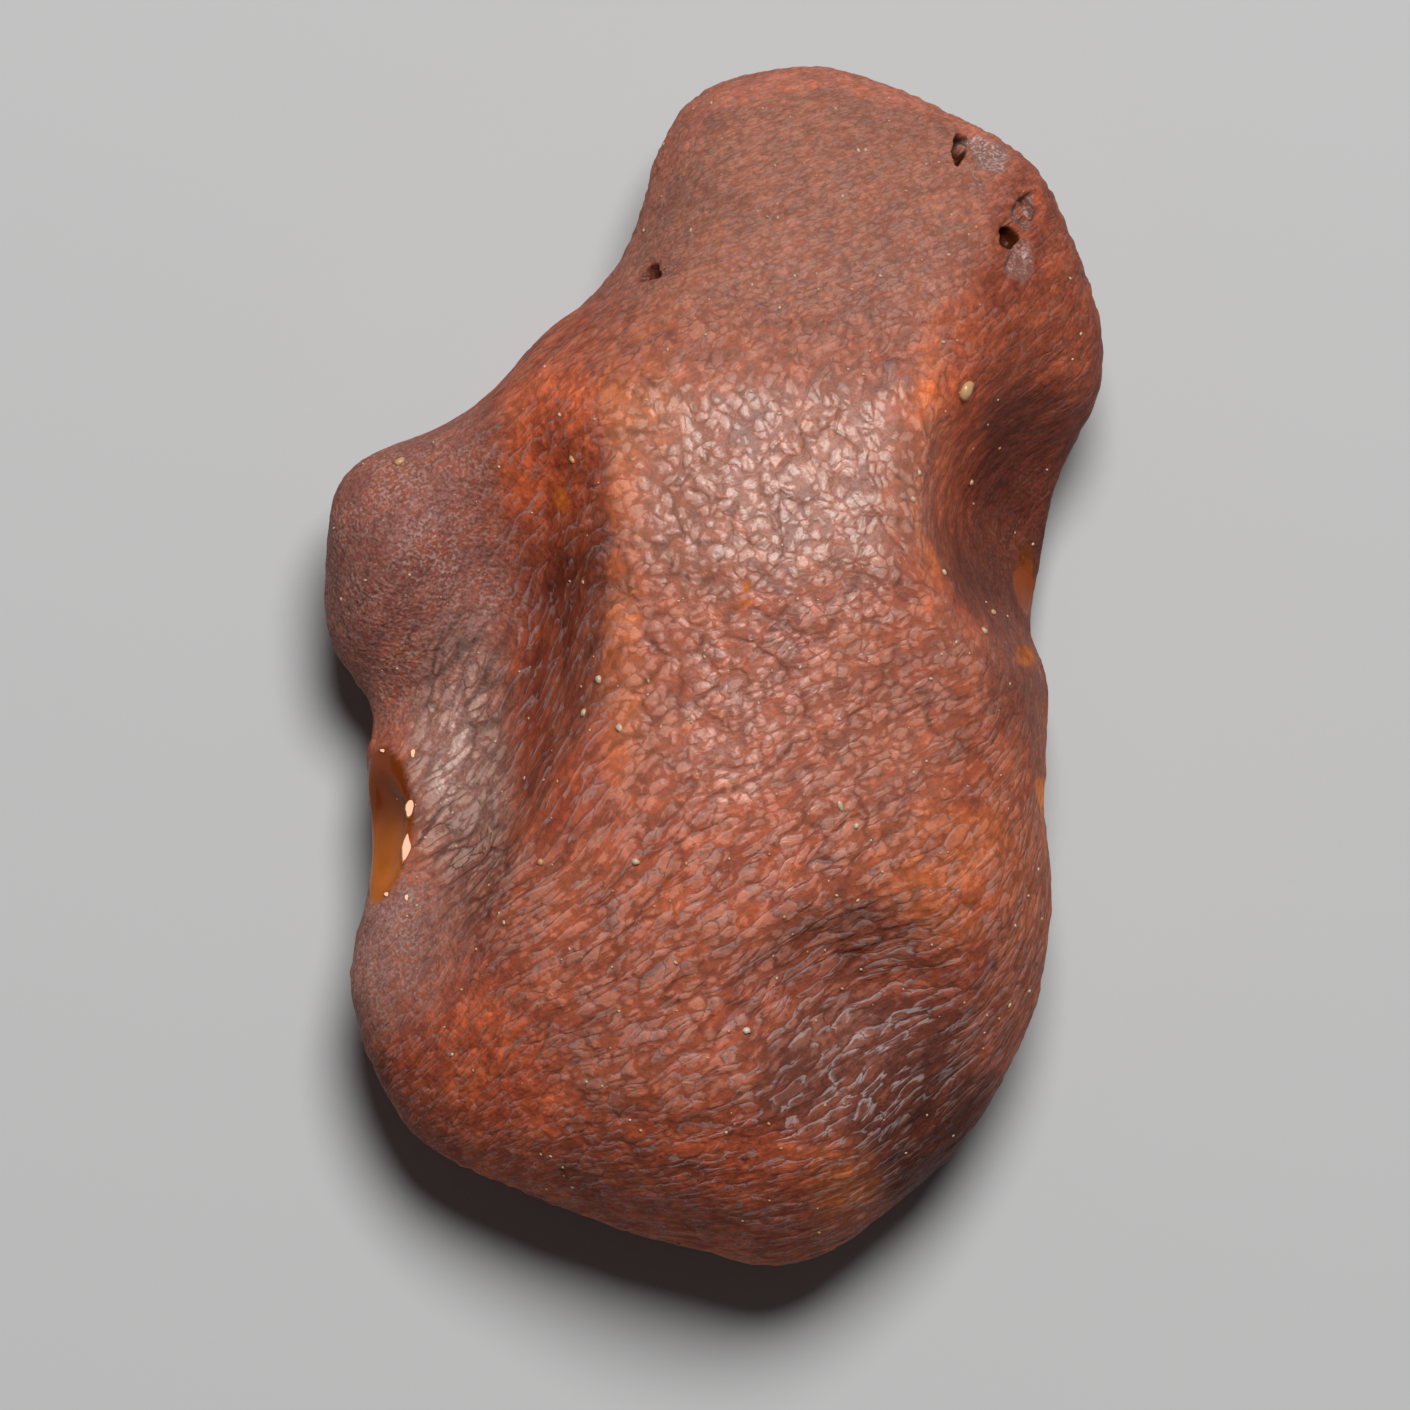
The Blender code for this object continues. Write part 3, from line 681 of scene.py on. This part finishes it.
def raise_crust(obj):
    """Lift the points of the surface to the height of the crust, and store its slow changes."""
    tree = bpy.data.node_groups.new("raising_the_crust", "GeometryNodeTree")
    tree.interface.new_socket("Geometry", in_out="INPUT", socket_type="NodeSocketGeometry")
    tree.interface.new_socket("Geometry", in_out="OUTPUT", socket_type="NodeSocketGeometry")
    geometry = make_node(tree, "NodeGroupInput").outputs[0]
    place = make_node(tree, "GeometryNodeInputPosition").outputs[0]
    normal = make_node(tree, "GeometryNodeInputNormal").outputs[0]
    chosen, weave = woven(tree, place)
    drift = drifting(tree, place, chosen)
    geometry = stored(tree, geometry, "weave", weave)
    geometry = stored(tree, geometry, "drift", drift)
    relief = crust_relief(
        tree,
        named(tree, "weave"),
        named(tree, "strengths"),
        named(tree, "drift"),
        place,
        fine=False,
    )
    height = calc(tree, "SUBTRACT", relief["height"], MIDDLE_HEIGHT)
    skin = calc(tree, "SUBTRACT", 1.0, named(tree, "fresh", "FLOAT"))
    height = product(tree, height, skin, RAISED_SHARE * MM)
    lifting = {"Geometry": geometry, "Offset": scaled(tree, normal, height)}
    lifted = make_node(tree, "GeometryNodeSetPosition", lifting)
    leaving = make_node(tree, "NodeGroupOutput")
    tree.links.new(lifted.outputs[0], leaving.inputs[0])
    raising = obj.modifiers.new("raising", "NODES")
    raising.node_group = tree


def keep_in_box(mesh):
    """Press back the few points that stand outside the nodule's box."""
    points = vectors_of(mesh, "co")
    mesh.vertices.foreach_set("co", np.clip(points, *np.array(cad_box)).ravel())
    mesh.update()


surface.transform(Matrix.Scale(MM, 4))
raw = bpy.data.objects.new("raw_amber", surface)
bpy.context.scene.collection.objects.link(raw)
raise_crust(raw)
raised = with_modifiers_applied(raw)
raw.modifiers.clear()
raw.data = raised
keep_in_box(raised)
raised.name = "raw_amber"
raised.shade_smooth()

# The colours of the crust and of the clear resin
GROUND_RED = (0.37, 0.054, 0.019, 1)
GROUND_RUST = (0.44, 0.078, 0.024, 1)
# Painted glow: an orange that stands for light coming through the thin crust of ridges, windows and
# spots, in part where the crust is worn thin
GLOWING_ORANGE = (0.60, 0.150, 0.020, 1)
# Pale tops of the scales: in part a pale bloom on the crust, in part a painted highlight, strongest
# in the upper crown
PALE_TOP = (0.66, 0.48, 0.39, 1)
# Pale flecks and pale upper edges: in part bloom and dust on the crust, in part painted sheen, most
# of it on the left lobe, the valley and the ridges of the basin
PALE_FLECK = (0.45, 0.30, 0.27, 1)
PALE_LIP = (0.46, 0.38, 0.37, 1)
DEEP_AMBER = (0.26, 0.050, 0.006, 1)
BRIGHT_AMBER = (0.56, 0.14, 0.010, 1)
LIGHT_THROUGH_AMBER = (0.90, 0.40, 0.06, 1)
AMBER_DENSITY = 260.0  # for each metre that the light goes through
AMBER_IOR = 1.54

# How pale the tops, the flecks and the upper edges are: by their pattern, all over, and at most
TOP_PALENESS = (0.31, 0.12, 0.8)
FLECK_PALENESS = (0.34, 0.13, 0.9)
LIP_PALENESS = (0.62, 0.02, 0.8)

# How far a top reaches from the middle of its scale, where its colour starts and is full, and what
# makes its outline uneven
TOP_REACH = 0.62
TOP_FROM_EDGE = 1.5
TOP_COLOUR = (0.08, 0.40)
UNEVEN_BY_PLACE = 0.7
UNEVEN_BY_SPECKLE = 0.8
UNEVEN_BY_SCALE = 0.25
FLAT_TOP = 0.45  # how much of a top is seen where the scales have no relief

# How the ground's colour and light change with the patches, the speckle, the scale and its top
SPECKLES_PER_METRE = 3200.0
RUST_BY_PATCH = (0.34, 0.66)
GLOW_BY_PATCH = (0.35, 0.6, 0.7, 1.0)
LIGHT_BY_SPECKLE = (0.3, 0.7, 0.74, 1.26)
LIGHT_BY_SCALE = (0.4, 0.8)
LIGHT_BY_PATCH = (0.35, 0.65, 0.94, 1.06)
# Brighter on the tops, in part a painted highlight
LIGHT_BY_TOP = (0.34, 0.86)
CRACK_SHADE = 0.45

# Where the pale upper edge of a scale is: up its lean, off its very rim, to its inner end, and the
# share of the scales that have one
LIP_LEAN = (-0.12, 0.20)
LIP_RIM = (0.0, 0.06)
LIP_END = (0.12, 0.28, 1.0, 0.0)
LIP_SCALES = (0.38, 0.56)
LIP_BY_SCALE = 0.3
FLECKS_PER_METRE = 8200.0
FLECK_SIZES = (0.46, 0.64)
FLECKS_BY_PATCH = (0.36, 0.6, 0.35, 1.0)

CRUST_ROUGHNESS = 0.48
AMBER_ROUGHNESS = 0.10
CRUST_SPECULAR = 0.03  # nearly all the gloss comes from the coat
COAT_ROUGHNESS = 0.40
COAT_ON_TOPS = 0.78
COAT_ALL_OVER = 0.24
CLEAR_VIEW = (0.2, 0.6, 0.45, 0.08)  # the chips are clearer where one looks straight at them
COAT_VIEW = (0.25, 0.75, 1.0, 0.0)  # the coat fades where one looks along the crust
SCATTER = 0.35
SCATTER_DEPTHS = (1.0, 0.25, 0.08)  # how far red, green and blue go under the surface


def pale_share(tree, pattern, paleness, weight):
    """How much of a pale colour shows, from a pattern and a region's weight."""
    strongest, all_over, at_most = paleness
    share = calc(tree, "MULTIPLY_ADD", pattern, strongest, all_over)
    return calc(tree, "MINIMUM", product(tree, share, weight), at_most)


def tops_of_scales(tree, relief, speckle):
    """1 on the tops of the scales, 0 in the furrows between them, with a crumbly outline."""
    swell = calc(tree, "SUBTRACT", TOP_REACH, relief["middle"])
    swell = calc(tree, "MINIMUM", swell, product(tree, relief["edge"], TOP_FROM_EDGE))
    for value, amount in (
        (relief["presence"], UNEVEN_BY_PLACE),
        (speckle, UNEVEN_BY_SPECKLE),
        (relief["tint"][2], UNEVEN_BY_SCALE),
    ):
        swell = calc(tree, "MULTIPLY_ADD", calc(tree, "SUBTRACT", value, 0.5), amount, swell)
    inputs = {0: relief["plain"], 2: ramp(tree, swell, *TOP_COLOUR), 3: FLAT_TOP}
    return make_node(tree, "ShaderNodeMix", inputs).outputs[0]


def ground_colour(tree, relief, speckle, top, tone_and_painted_light, glow):
    """The crust's red to orange, with painted glow, the tone and painted light and shade of each
    region, and brighter on the tops, in part as a painted highlight.
    """
    patches = relief["patches"]
    ground = blend(tree, ramp(tree, patches, *RUST_BY_PATCH), GROUND_RED, GROUND_RUST)
    glow = product(tree, glow, ramp(tree, patches, *GLOW_BY_PATCH))
    ground = blend(tree, glow, ground, GLOWING_ORANGE)
    light = product(
        tree,
        ramp(tree, speckle, *LIGHT_BY_SPECKLE),
        calc(tree, "MULTIPLY_ADD", relief["tint"][1], *LIGHT_BY_SCALE),
        ramp(tree, patches, *LIGHT_BY_PATCH),
        calc(tree, "MULTIPLY_ADD", top, *LIGHT_BY_TOP),
        tone_and_painted_light,
    )
    return scaled(tree, ground, light)


def upper_edges(tree, relief):
    """1 along the upper edges of the scales that have a pale one."""
    edge, lean = relief["edge"], relief["lean"]
    kept = calc(tree, "SUBTRACT", relief["tint"][2], 0.5)
    kept = calc(tree, "MULTIPLY_ADD", kept, LIP_BY_SCALE, relief["presence"])
    return product(
        tree,
        ramp(tree, lean, *LIP_LEAN),
        ramp(tree, edge, *LIP_RIM),
        ramp(tree, edge, *LIP_END),
        ramp(tree, kept, *LIP_SCALES),
    )


def pale_flecks(tree, place, relief):
    """1 on the fine flecks, which come in patches."""
    dots = noise_at(tree, place, FLECKS_PER_METRE, 1.0, roughness=0.6)
    dots = ramp(tree, dots, *FLECK_SIZES)
    return product(tree, dots, ramp(tree, relief["patches"], *FLECKS_BY_PATCH))


def weathered_amber():
    """The crust, and the clear resin where the chips have taken it off."""
    material = bpy.data.materials.new("weathered_amber")
    material.use_nodes = True
    tree = material.node_tree
    shader = tree.nodes["Principled BSDF"]
    weave, strengths, drift, pale, tones_and_painted_light = (
        make_node(tree, "ShaderNodeAttribute", attribute_name=name).outputs["Vector"]
        for name in ("weave", "strengths", "drift", "pale", "tones_and_painted_light")
    )
    fresh, melt = (
        make_node(tree, "ShaderNodeAttribute", attribute_name=name).outputs["Fac"]
        for name in ("fresh", "melt")
    )
    skin = calc(tree, "SUBTRACT", 1.0, fresh)
    place = make_node(tree, "ShaderNodeTexCoord").outputs["Object"]
    relief = crust_relief(tree, weave, strengths, drift, place, fine=True)
    height = product(tree, relief["height"], skin)
    bump = make_node(tree, "ShaderNodeBump", {"Strength": 1.0, "Distance": MM, "Height": height})
    for name in ("Normal", "Coat Normal"):
        tree.links.new(bump.outputs[0], shader.inputs[name])

    # Tone with painted light and shade, painted glow and gloss, region by region
    tone_and_painted_light, glow, gloss = parts_of(tree, tones_and_painted_light)
    tops, lips, flecks = parts_of(tree, pale)
    speckle = noise_at(tree, place, SPECKLES_PER_METRE, 3.0, roughness=0.7)
    top = tops_of_scales(tree, relief, speckle)
    colour = ground_colour(tree, relief, speckle, top, tone_and_painted_light, glow)
    bloom_and_painted_highlight = pale_share(tree, top, TOP_PALENESS, tops)
    dust_and_painted_sheen = pale_share(tree, pale_flecks(tree, place, relief), FLECK_PALENESS, flecks)
    bloom_and_painted_sheen = pale_share(tree, upper_edges(tree, relief), LIP_PALENESS, lips)
    for share, shade in ((bloom_and_painted_highlight, PALE_TOP), (dust_and_painted_sheen, PALE_FLECK), (bloom_and_painted_sheen, PALE_LIP)):
        colour = blend(tree, share, colour, shade)
    colour = scaled(tree, colour, calc(tree, "MULTIPLY_ADD", relief["crack"], -CRACK_SHADE, 1.0))
    colour = blend(tree, fresh, colour, blend(tree, melt, DEEP_AMBER, BRIGHT_AMBER))
    tree.links.new(colour, shader.inputs["Base Color"])

    smoother = AMBER_ROUGHNESS - CRUST_ROUGHNESS
    roughness = calc(tree, "MULTIPLY_ADD", fresh, smoother, CRUST_ROUGHNESS)
    tree.links.new(roughness, shader.inputs["Roughness"])
    facing = make_node(tree, "ShaderNodeLayerWeight", {"Blend": 0.5}).outputs["Facing"]
    clear = product(tree, fresh, ramp(tree, facing, *CLEAR_VIEW))
    tree.links.new(clear, shader.inputs["Transmission Weight"])
    coat_share = calc(tree, "MULTIPLY_ADD", top, COAT_ON_TOPS, COAT_ALL_OVER)
    coat = product(tree, ramp(tree, facing, *COAT_VIEW), gloss, coat_share, skin)
    tree.links.new(coat, shader.inputs["Coat Weight"])
    shader.inputs["IOR"].default_value = AMBER_IOR
    shader.inputs["Specular IOR Level"].default_value = CRUST_SPECULAR
    shader.inputs["Subsurface Weight"].default_value = SCATTER
    shader.inputs["Subsurface Radius"].default_value = SCATTER_DEPTHS
    shader.inputs["Subsurface Scale"].default_value = MM
    shader.inputs["Coat Roughness"].default_value = COAT_ROUGHNESS
    shader.inputs["Coat IOR"].default_value = AMBER_IOR
    absorbing = {"Color": LIGHT_THROUGH_AMBER, "Density": AMBER_DENSITY}
    depths = make_node(tree, "ShaderNodeVolumeAbsorption", absorbing)
    tree.links.new(depths.outputs[0], tree.nodes["Material Output"].inputs["Volume"])
    return material


raised.materials.clear()
raised.materials.append(weathered_amber())
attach(raw, "root")
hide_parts("amber_nodule")

# Grains of sand and specks of dust that stick in the crust. They are quartz, pale and half clear,
# each a fraction of a millimetre across, pressed in as the nodule lay in the ground.
# A grain is given by its place, its half sizes and its turn in degrees.
GRAINS = (
    ((8.28, 9.05), (0.26, 0.38), 100.0), ((-3.75, -0.48), (0.15, 0.13), 30.0),
    ((-4.25, -1.58), (0.14, 0.12), 0.0), ((-3.08, -2.08), (0.15, 0.12), 60.0),
    ((4.15, -4.62), (0.20, 0.09), 50.0), ((-2.55, -6.45), (0.14, 0.12), 10.0),
    ((1.08, -12.02), (0.14, 0.12), 80.0), ((4.68, -5.28), (0.11, 0.09), 0.0),
    ((7.58, 3.05), (0.11, 0.09), 20.0), ((9.25, 1.75), (0.13, 0.10), 70.0),
    ((6.75, 6.32), (0.10, 0.08), 0.0), ((6.55, 5.45), (0.12, 0.09), 45.0),
    ((8.55, 6.08), (0.10, 0.08), 15.0), ((8.92, 1.12), (0.14, 0.11), 35.0),
    ((-4.65, 6.78), (0.15, 0.10), 25.0), ((-5.68, -6.48), (0.12, 0.10), 5.0),
    ((-10.42, 6.75), (0.20, 0.13), 15.0),
)  # fmt: skip
SPECKS = 420  # dust, besides the grains
SPECK_SIZES = (0.022, 0.06)
SPECK_STRETCH = (1.0, 1.8)
FIELD = (13.0, 20.0)  # the dust falls this far to each side of the middle
SINKING = 0.35  # share of a grain that is below the crust
GRAIN_FLATNESS = 0.8  # thickness as a share of the smaller half size
UNEVEN = 0.16  # how far a grain's points are in or out of round
HIGH_ABOVE = 30.0  # where the search for the crust under a grain starts
PALE_QUARTZ = (0.62, 0.52, 0.38, 1)
STAINED_QUARTZ = (0.55, 0.30, 0.12, 1)


def crust_under(crust_tree, x, y):
    """The point of the crust straight under a place, and its normal."""
    spot, normal, _, _ = crust_tree.ray_cast(Vector((x, y, HIGH_ABOVE)) * MM, Vector((0, 0, -1)))
    return spot, normal


def place_grain(shape, crust_tree, x, y, half_sizes, turn, subdivisions, rng):
    """Press one uneven grain into the crust and return how many points it has."""
    spot, normal = crust_under(crust_tree, x, y)
    if spot is None:
        return 0
    made = bmesh.ops.create_icosphere(shape, subdivisions=subdivisions, radius=1.0)["verts"]
    thickness = min(half_sizes) * GRAIN_FLATNESS
    for vert in made:
        vert.co *= 1.0 + rng.uniform(-UNEVEN, UNEVEN)
    stand = (1.0 - 2.0 * SINKING) * thickness * MM
    matrix = (
        Matrix.Translation(spot + normal * stand)
        @ normal.to_track_quat("Z", "Y").to_matrix().to_4x4()
        @ Matrix.Rotation(math.radians(turn), 4, "Z")
        @ Matrix.Diagonal((half_sizes[0] * MM, half_sizes[1] * MM, thickness * MM, 1.0))
    )
    bmesh.ops.transform(shape, matrix=matrix, verts=made)
    return len(made)


rng = np.random.default_rng(11)
crust_tree = BVHTree.FromObject(raw, bpy.context.evaluated_depsgraph_get())
grain_shape = bmesh.new()
counts = []
for (x, y), half_sizes, turn in GRAINS:
    counts.append(place_grain(grain_shape, crust_tree, x, y, half_sizes, turn, 2, rng))
for _ in range(SPECKS):
    x, y = rng.uniform(-FIELD[0], FIELD[0]), rng.uniform(-FIELD[1], FIELD[1])
    size = rng.uniform(*SPECK_SIZES)
    half_sizes = (size * rng.uniform(*SPECK_STRETCH), size)
    turn = rng.uniform(0, 180)
    counts.append(place_grain(grain_shape, crust_tree, x, y, half_sizes, turn, 1, rng))
grain_mesh = bpy.data.meshes.new("sand_grains")
grain_shape.to_mesh(grain_mesh)
grain_shape.free()
keep_in_box(grain_mesh)
stains = rng.uniform(0, 1, len(counts))
add_attribute(grain_mesh, "tint", np.repeat(stains, counts))
grain_mesh.shade_smooth()
sand = bpy.data.objects.new("sand_grains", grain_mesh)
bpy.context.scene.collection.objects.link(sand)


def quartz_sand():
    """Pale quartz, some of it stained brown."""
    material = bpy.data.materials.new("quartz_sand")
    material.use_nodes = True
    tree = material.node_tree
    shader = tree.nodes["Principled BSDF"]
    tint = make_node(tree, "ShaderNodeAttribute", attribute_name="tint").outputs["Fac"]
    tree.links.new(blend(tree, tint, PALE_QUARTZ, STAINED_QUARTZ), shader.inputs["Base Color"])
    shader.inputs["Roughness"].default_value = 0.3
    shader.inputs["Transmission Weight"].default_value = 0.15
    return material


grain_mesh.materials.append(quartz_sand())
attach(sand, "root")

# Facets of fresh resin on the rim of the left chip, flat and glassy, each tilted a little towards
# the narrow end. They are flakes that still hold to the crust.
# A facet is given by its place, its half sizes and its turn in degrees.
FACETS = (
    ((-10.10, -4.75), (0.15, 0.34), 4.0), ((-10.17, -5.98), (0.17, 0.60), -2.0),
    ((-10.00, -2.93), (0.08, 0.17), 8.0), ((-11.03, -2.85), (0.09, 0.06), 0.0),
    ((-10.88, -7.62), (0.08, 0.08), 0.0), ((-10.20, -7.72), (0.07, 0.12), 10.0),
)  # fmt: skip
FACET_TILT = (0.05, 0.21, 0.97)
FACET_THICKNESS = 0.10
FACET_SIDES = 14
FACET_TOP = 0.84  # size of the upper face against the lower one
FACET_RISE = 0.3  # how far its middle is above the crust, as a share of its thickness
FACET_WAVES = ((3, 0.10), (5, 0.06))  # how often its outline swells, and how far
FACET_AMBER = (0.60, 0.20, 0.03, 1)

facet_shape = bmesh.new()
tilt = Vector(FACET_TILT).to_track_quat("Z", "Y").to_matrix().to_4x4()
for (x, y), half_sizes, turn in FACETS:
    spot, _ = crust_under(crust_tree, x, y)
    made = bmesh.ops.create_cone(
        facet_shape,
        cap_ends=True,
        segments=FACET_SIDES,
        radius1=1.0,
        radius2=FACET_TOP,
        depth=1.0,
    )["verts"]
    (waves, swing), (fine_waves, fine_swing) = FACET_WAVES
    for vert in made:
        angle = math.atan2(vert.co.y, vert.co.x)
        swell = swing * math.sin(waves * angle + x) + fine_swing * math.sin(fine_waves * angle + y)
        vert.co.xy *= 1.0 + swell
    matrix = (
        Matrix.Translation(spot + Vector(FACET_TILT) * FACET_RISE * FACET_THICKNESS * MM)
        @ tilt
        @ Matrix.Rotation(math.radians(turn), 4, "Z")
        @ Matrix.Diagonal((half_sizes[0] * MM, half_sizes[1] * MM, FACET_THICKNESS * MM, 1.0))
    )
    bmesh.ops.transform(facet_shape, matrix=matrix, verts=made)
facet_mesh = bpy.data.meshes.new("chip_facets")
facet_shape.to_mesh(facet_mesh)
facet_shape.free()
facets = bpy.data.objects.new("chip_facets", facet_mesh)
bpy.context.scene.collection.objects.link(facets)


def plain_material(name, colour, roughness):
    """A material of one colour."""
    material = bpy.data.materials.new(name)
    material.use_nodes = True
    shader = material.node_tree.nodes["Principled BSDF"]
    shader.inputs["Base Color"].default_value = colour
    shader.inputs["Roughness"].default_value = roughness
    return material


facet_material = plain_material("fresh_amber", FACET_AMBER, 0.4)
facet_material.node_tree.nodes["Principled BSDF"].inputs["IOR"].default_value = AMBER_IOR
facet_mesh.materials.append(facet_material)
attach(facets, "root")

# The floor. It is a plain pale sheet of matt card, far wider than what is seen of it, and the
# nodule lies loose on it.
FLOOR_HALF_WIDTH = 1.2  # metres
FLOOR_GREY = (0.48, 0.48, 0.48, 1)
floor_shape = bmesh.new()
bmesh.ops.create_grid(floor_shape, x_segments=1, y_segments=1, size=FLOOR_HALF_WIDTH)
floor_mesh = bpy.data.meshes.new("floor")
floor_shape.to_mesh(floor_mesh)
floor_shape.free()
floor_mesh.materials.append(plain_material("pale_sheet", FLOOR_GREY, 0.9))
floor = bpy.data.objects.new("floor", floor_mesh)
bpy.context.scene.collection.objects.link(floor)

# The light. It is one broad soft lamp, high on the side of the narrow end and a little to the
# right, and a little light all round.
LAMP_DISTANCE = 0.5  # metres
LAMP_WIDTH = 0.20  # metres
LAMP_HEIGHT_ANGLE = 65.0
LAMP_TO_THE_RIGHT = 0.10
LAMP_POWER = 2.9
ROOM_LIGHT = 0.05
lamp = bpy.data.lights.new("lamp", "AREA")
lamp.shape = "DISK"
lamp.size = LAMP_WIDTH
lamp.energy = LAMP_POWER
lamp_object = bpy.data.objects.new("lamp", lamp)
bpy.context.scene.collection.objects.link(lamp_object)
rise = math.radians(LAMP_HEIGHT_ANGLE)
lamp_side = Vector((LAMP_TO_THE_RIGHT, math.cos(rise), math.sin(rise))).normalized()
lamp_object.location = lamp_side * LAMP_DISTANCE
lamp_object.rotation_euler = lamp_side.to_track_quat("Z", "Y").to_euler()
world = bpy.data.worlds.new("room")
world.use_nodes = True
room = world.node_tree.nodes["Background"]
room.inputs["Color"].default_value = (1.0, 1.0, 1.0, 1.0)
room.inputs["Strength"].default_value = ROOM_LIGHT
bpy.context.scene.world = world
bpy.context.scene.view_settings.view_transform = "Standard"

# The camera. It looks straight down from high above, so that the sides hardly lean away.
CAMERA_HEIGHT = 600.0
CAMERA_AIM = (-0.283, -1.317)
SEEN_LEVEL = 5.0  # height at which the nodule is widest
SEEN_WIDTH = 47.0  # across the picture, at that level
SENSOR_WIDTH = 36.0
camera = bpy.data.cameras.new("camera")
camera.sensor_width = SENSOR_WIDTH
camera.lens = SENSOR_WIDTH * (CAMERA_HEIGHT - SEEN_LEVEL) / SEEN_WIDTH
camera.clip_start = 0.01
camera_object = bpy.data.objects.new("camera", camera)
camera_object.location = Vector((*CAMERA_AIM, CAMERA_HEIGHT)) * MM
bpy.context.scene.collection.objects.link(camera_object)
bpy.context.scene.camera = camera_object
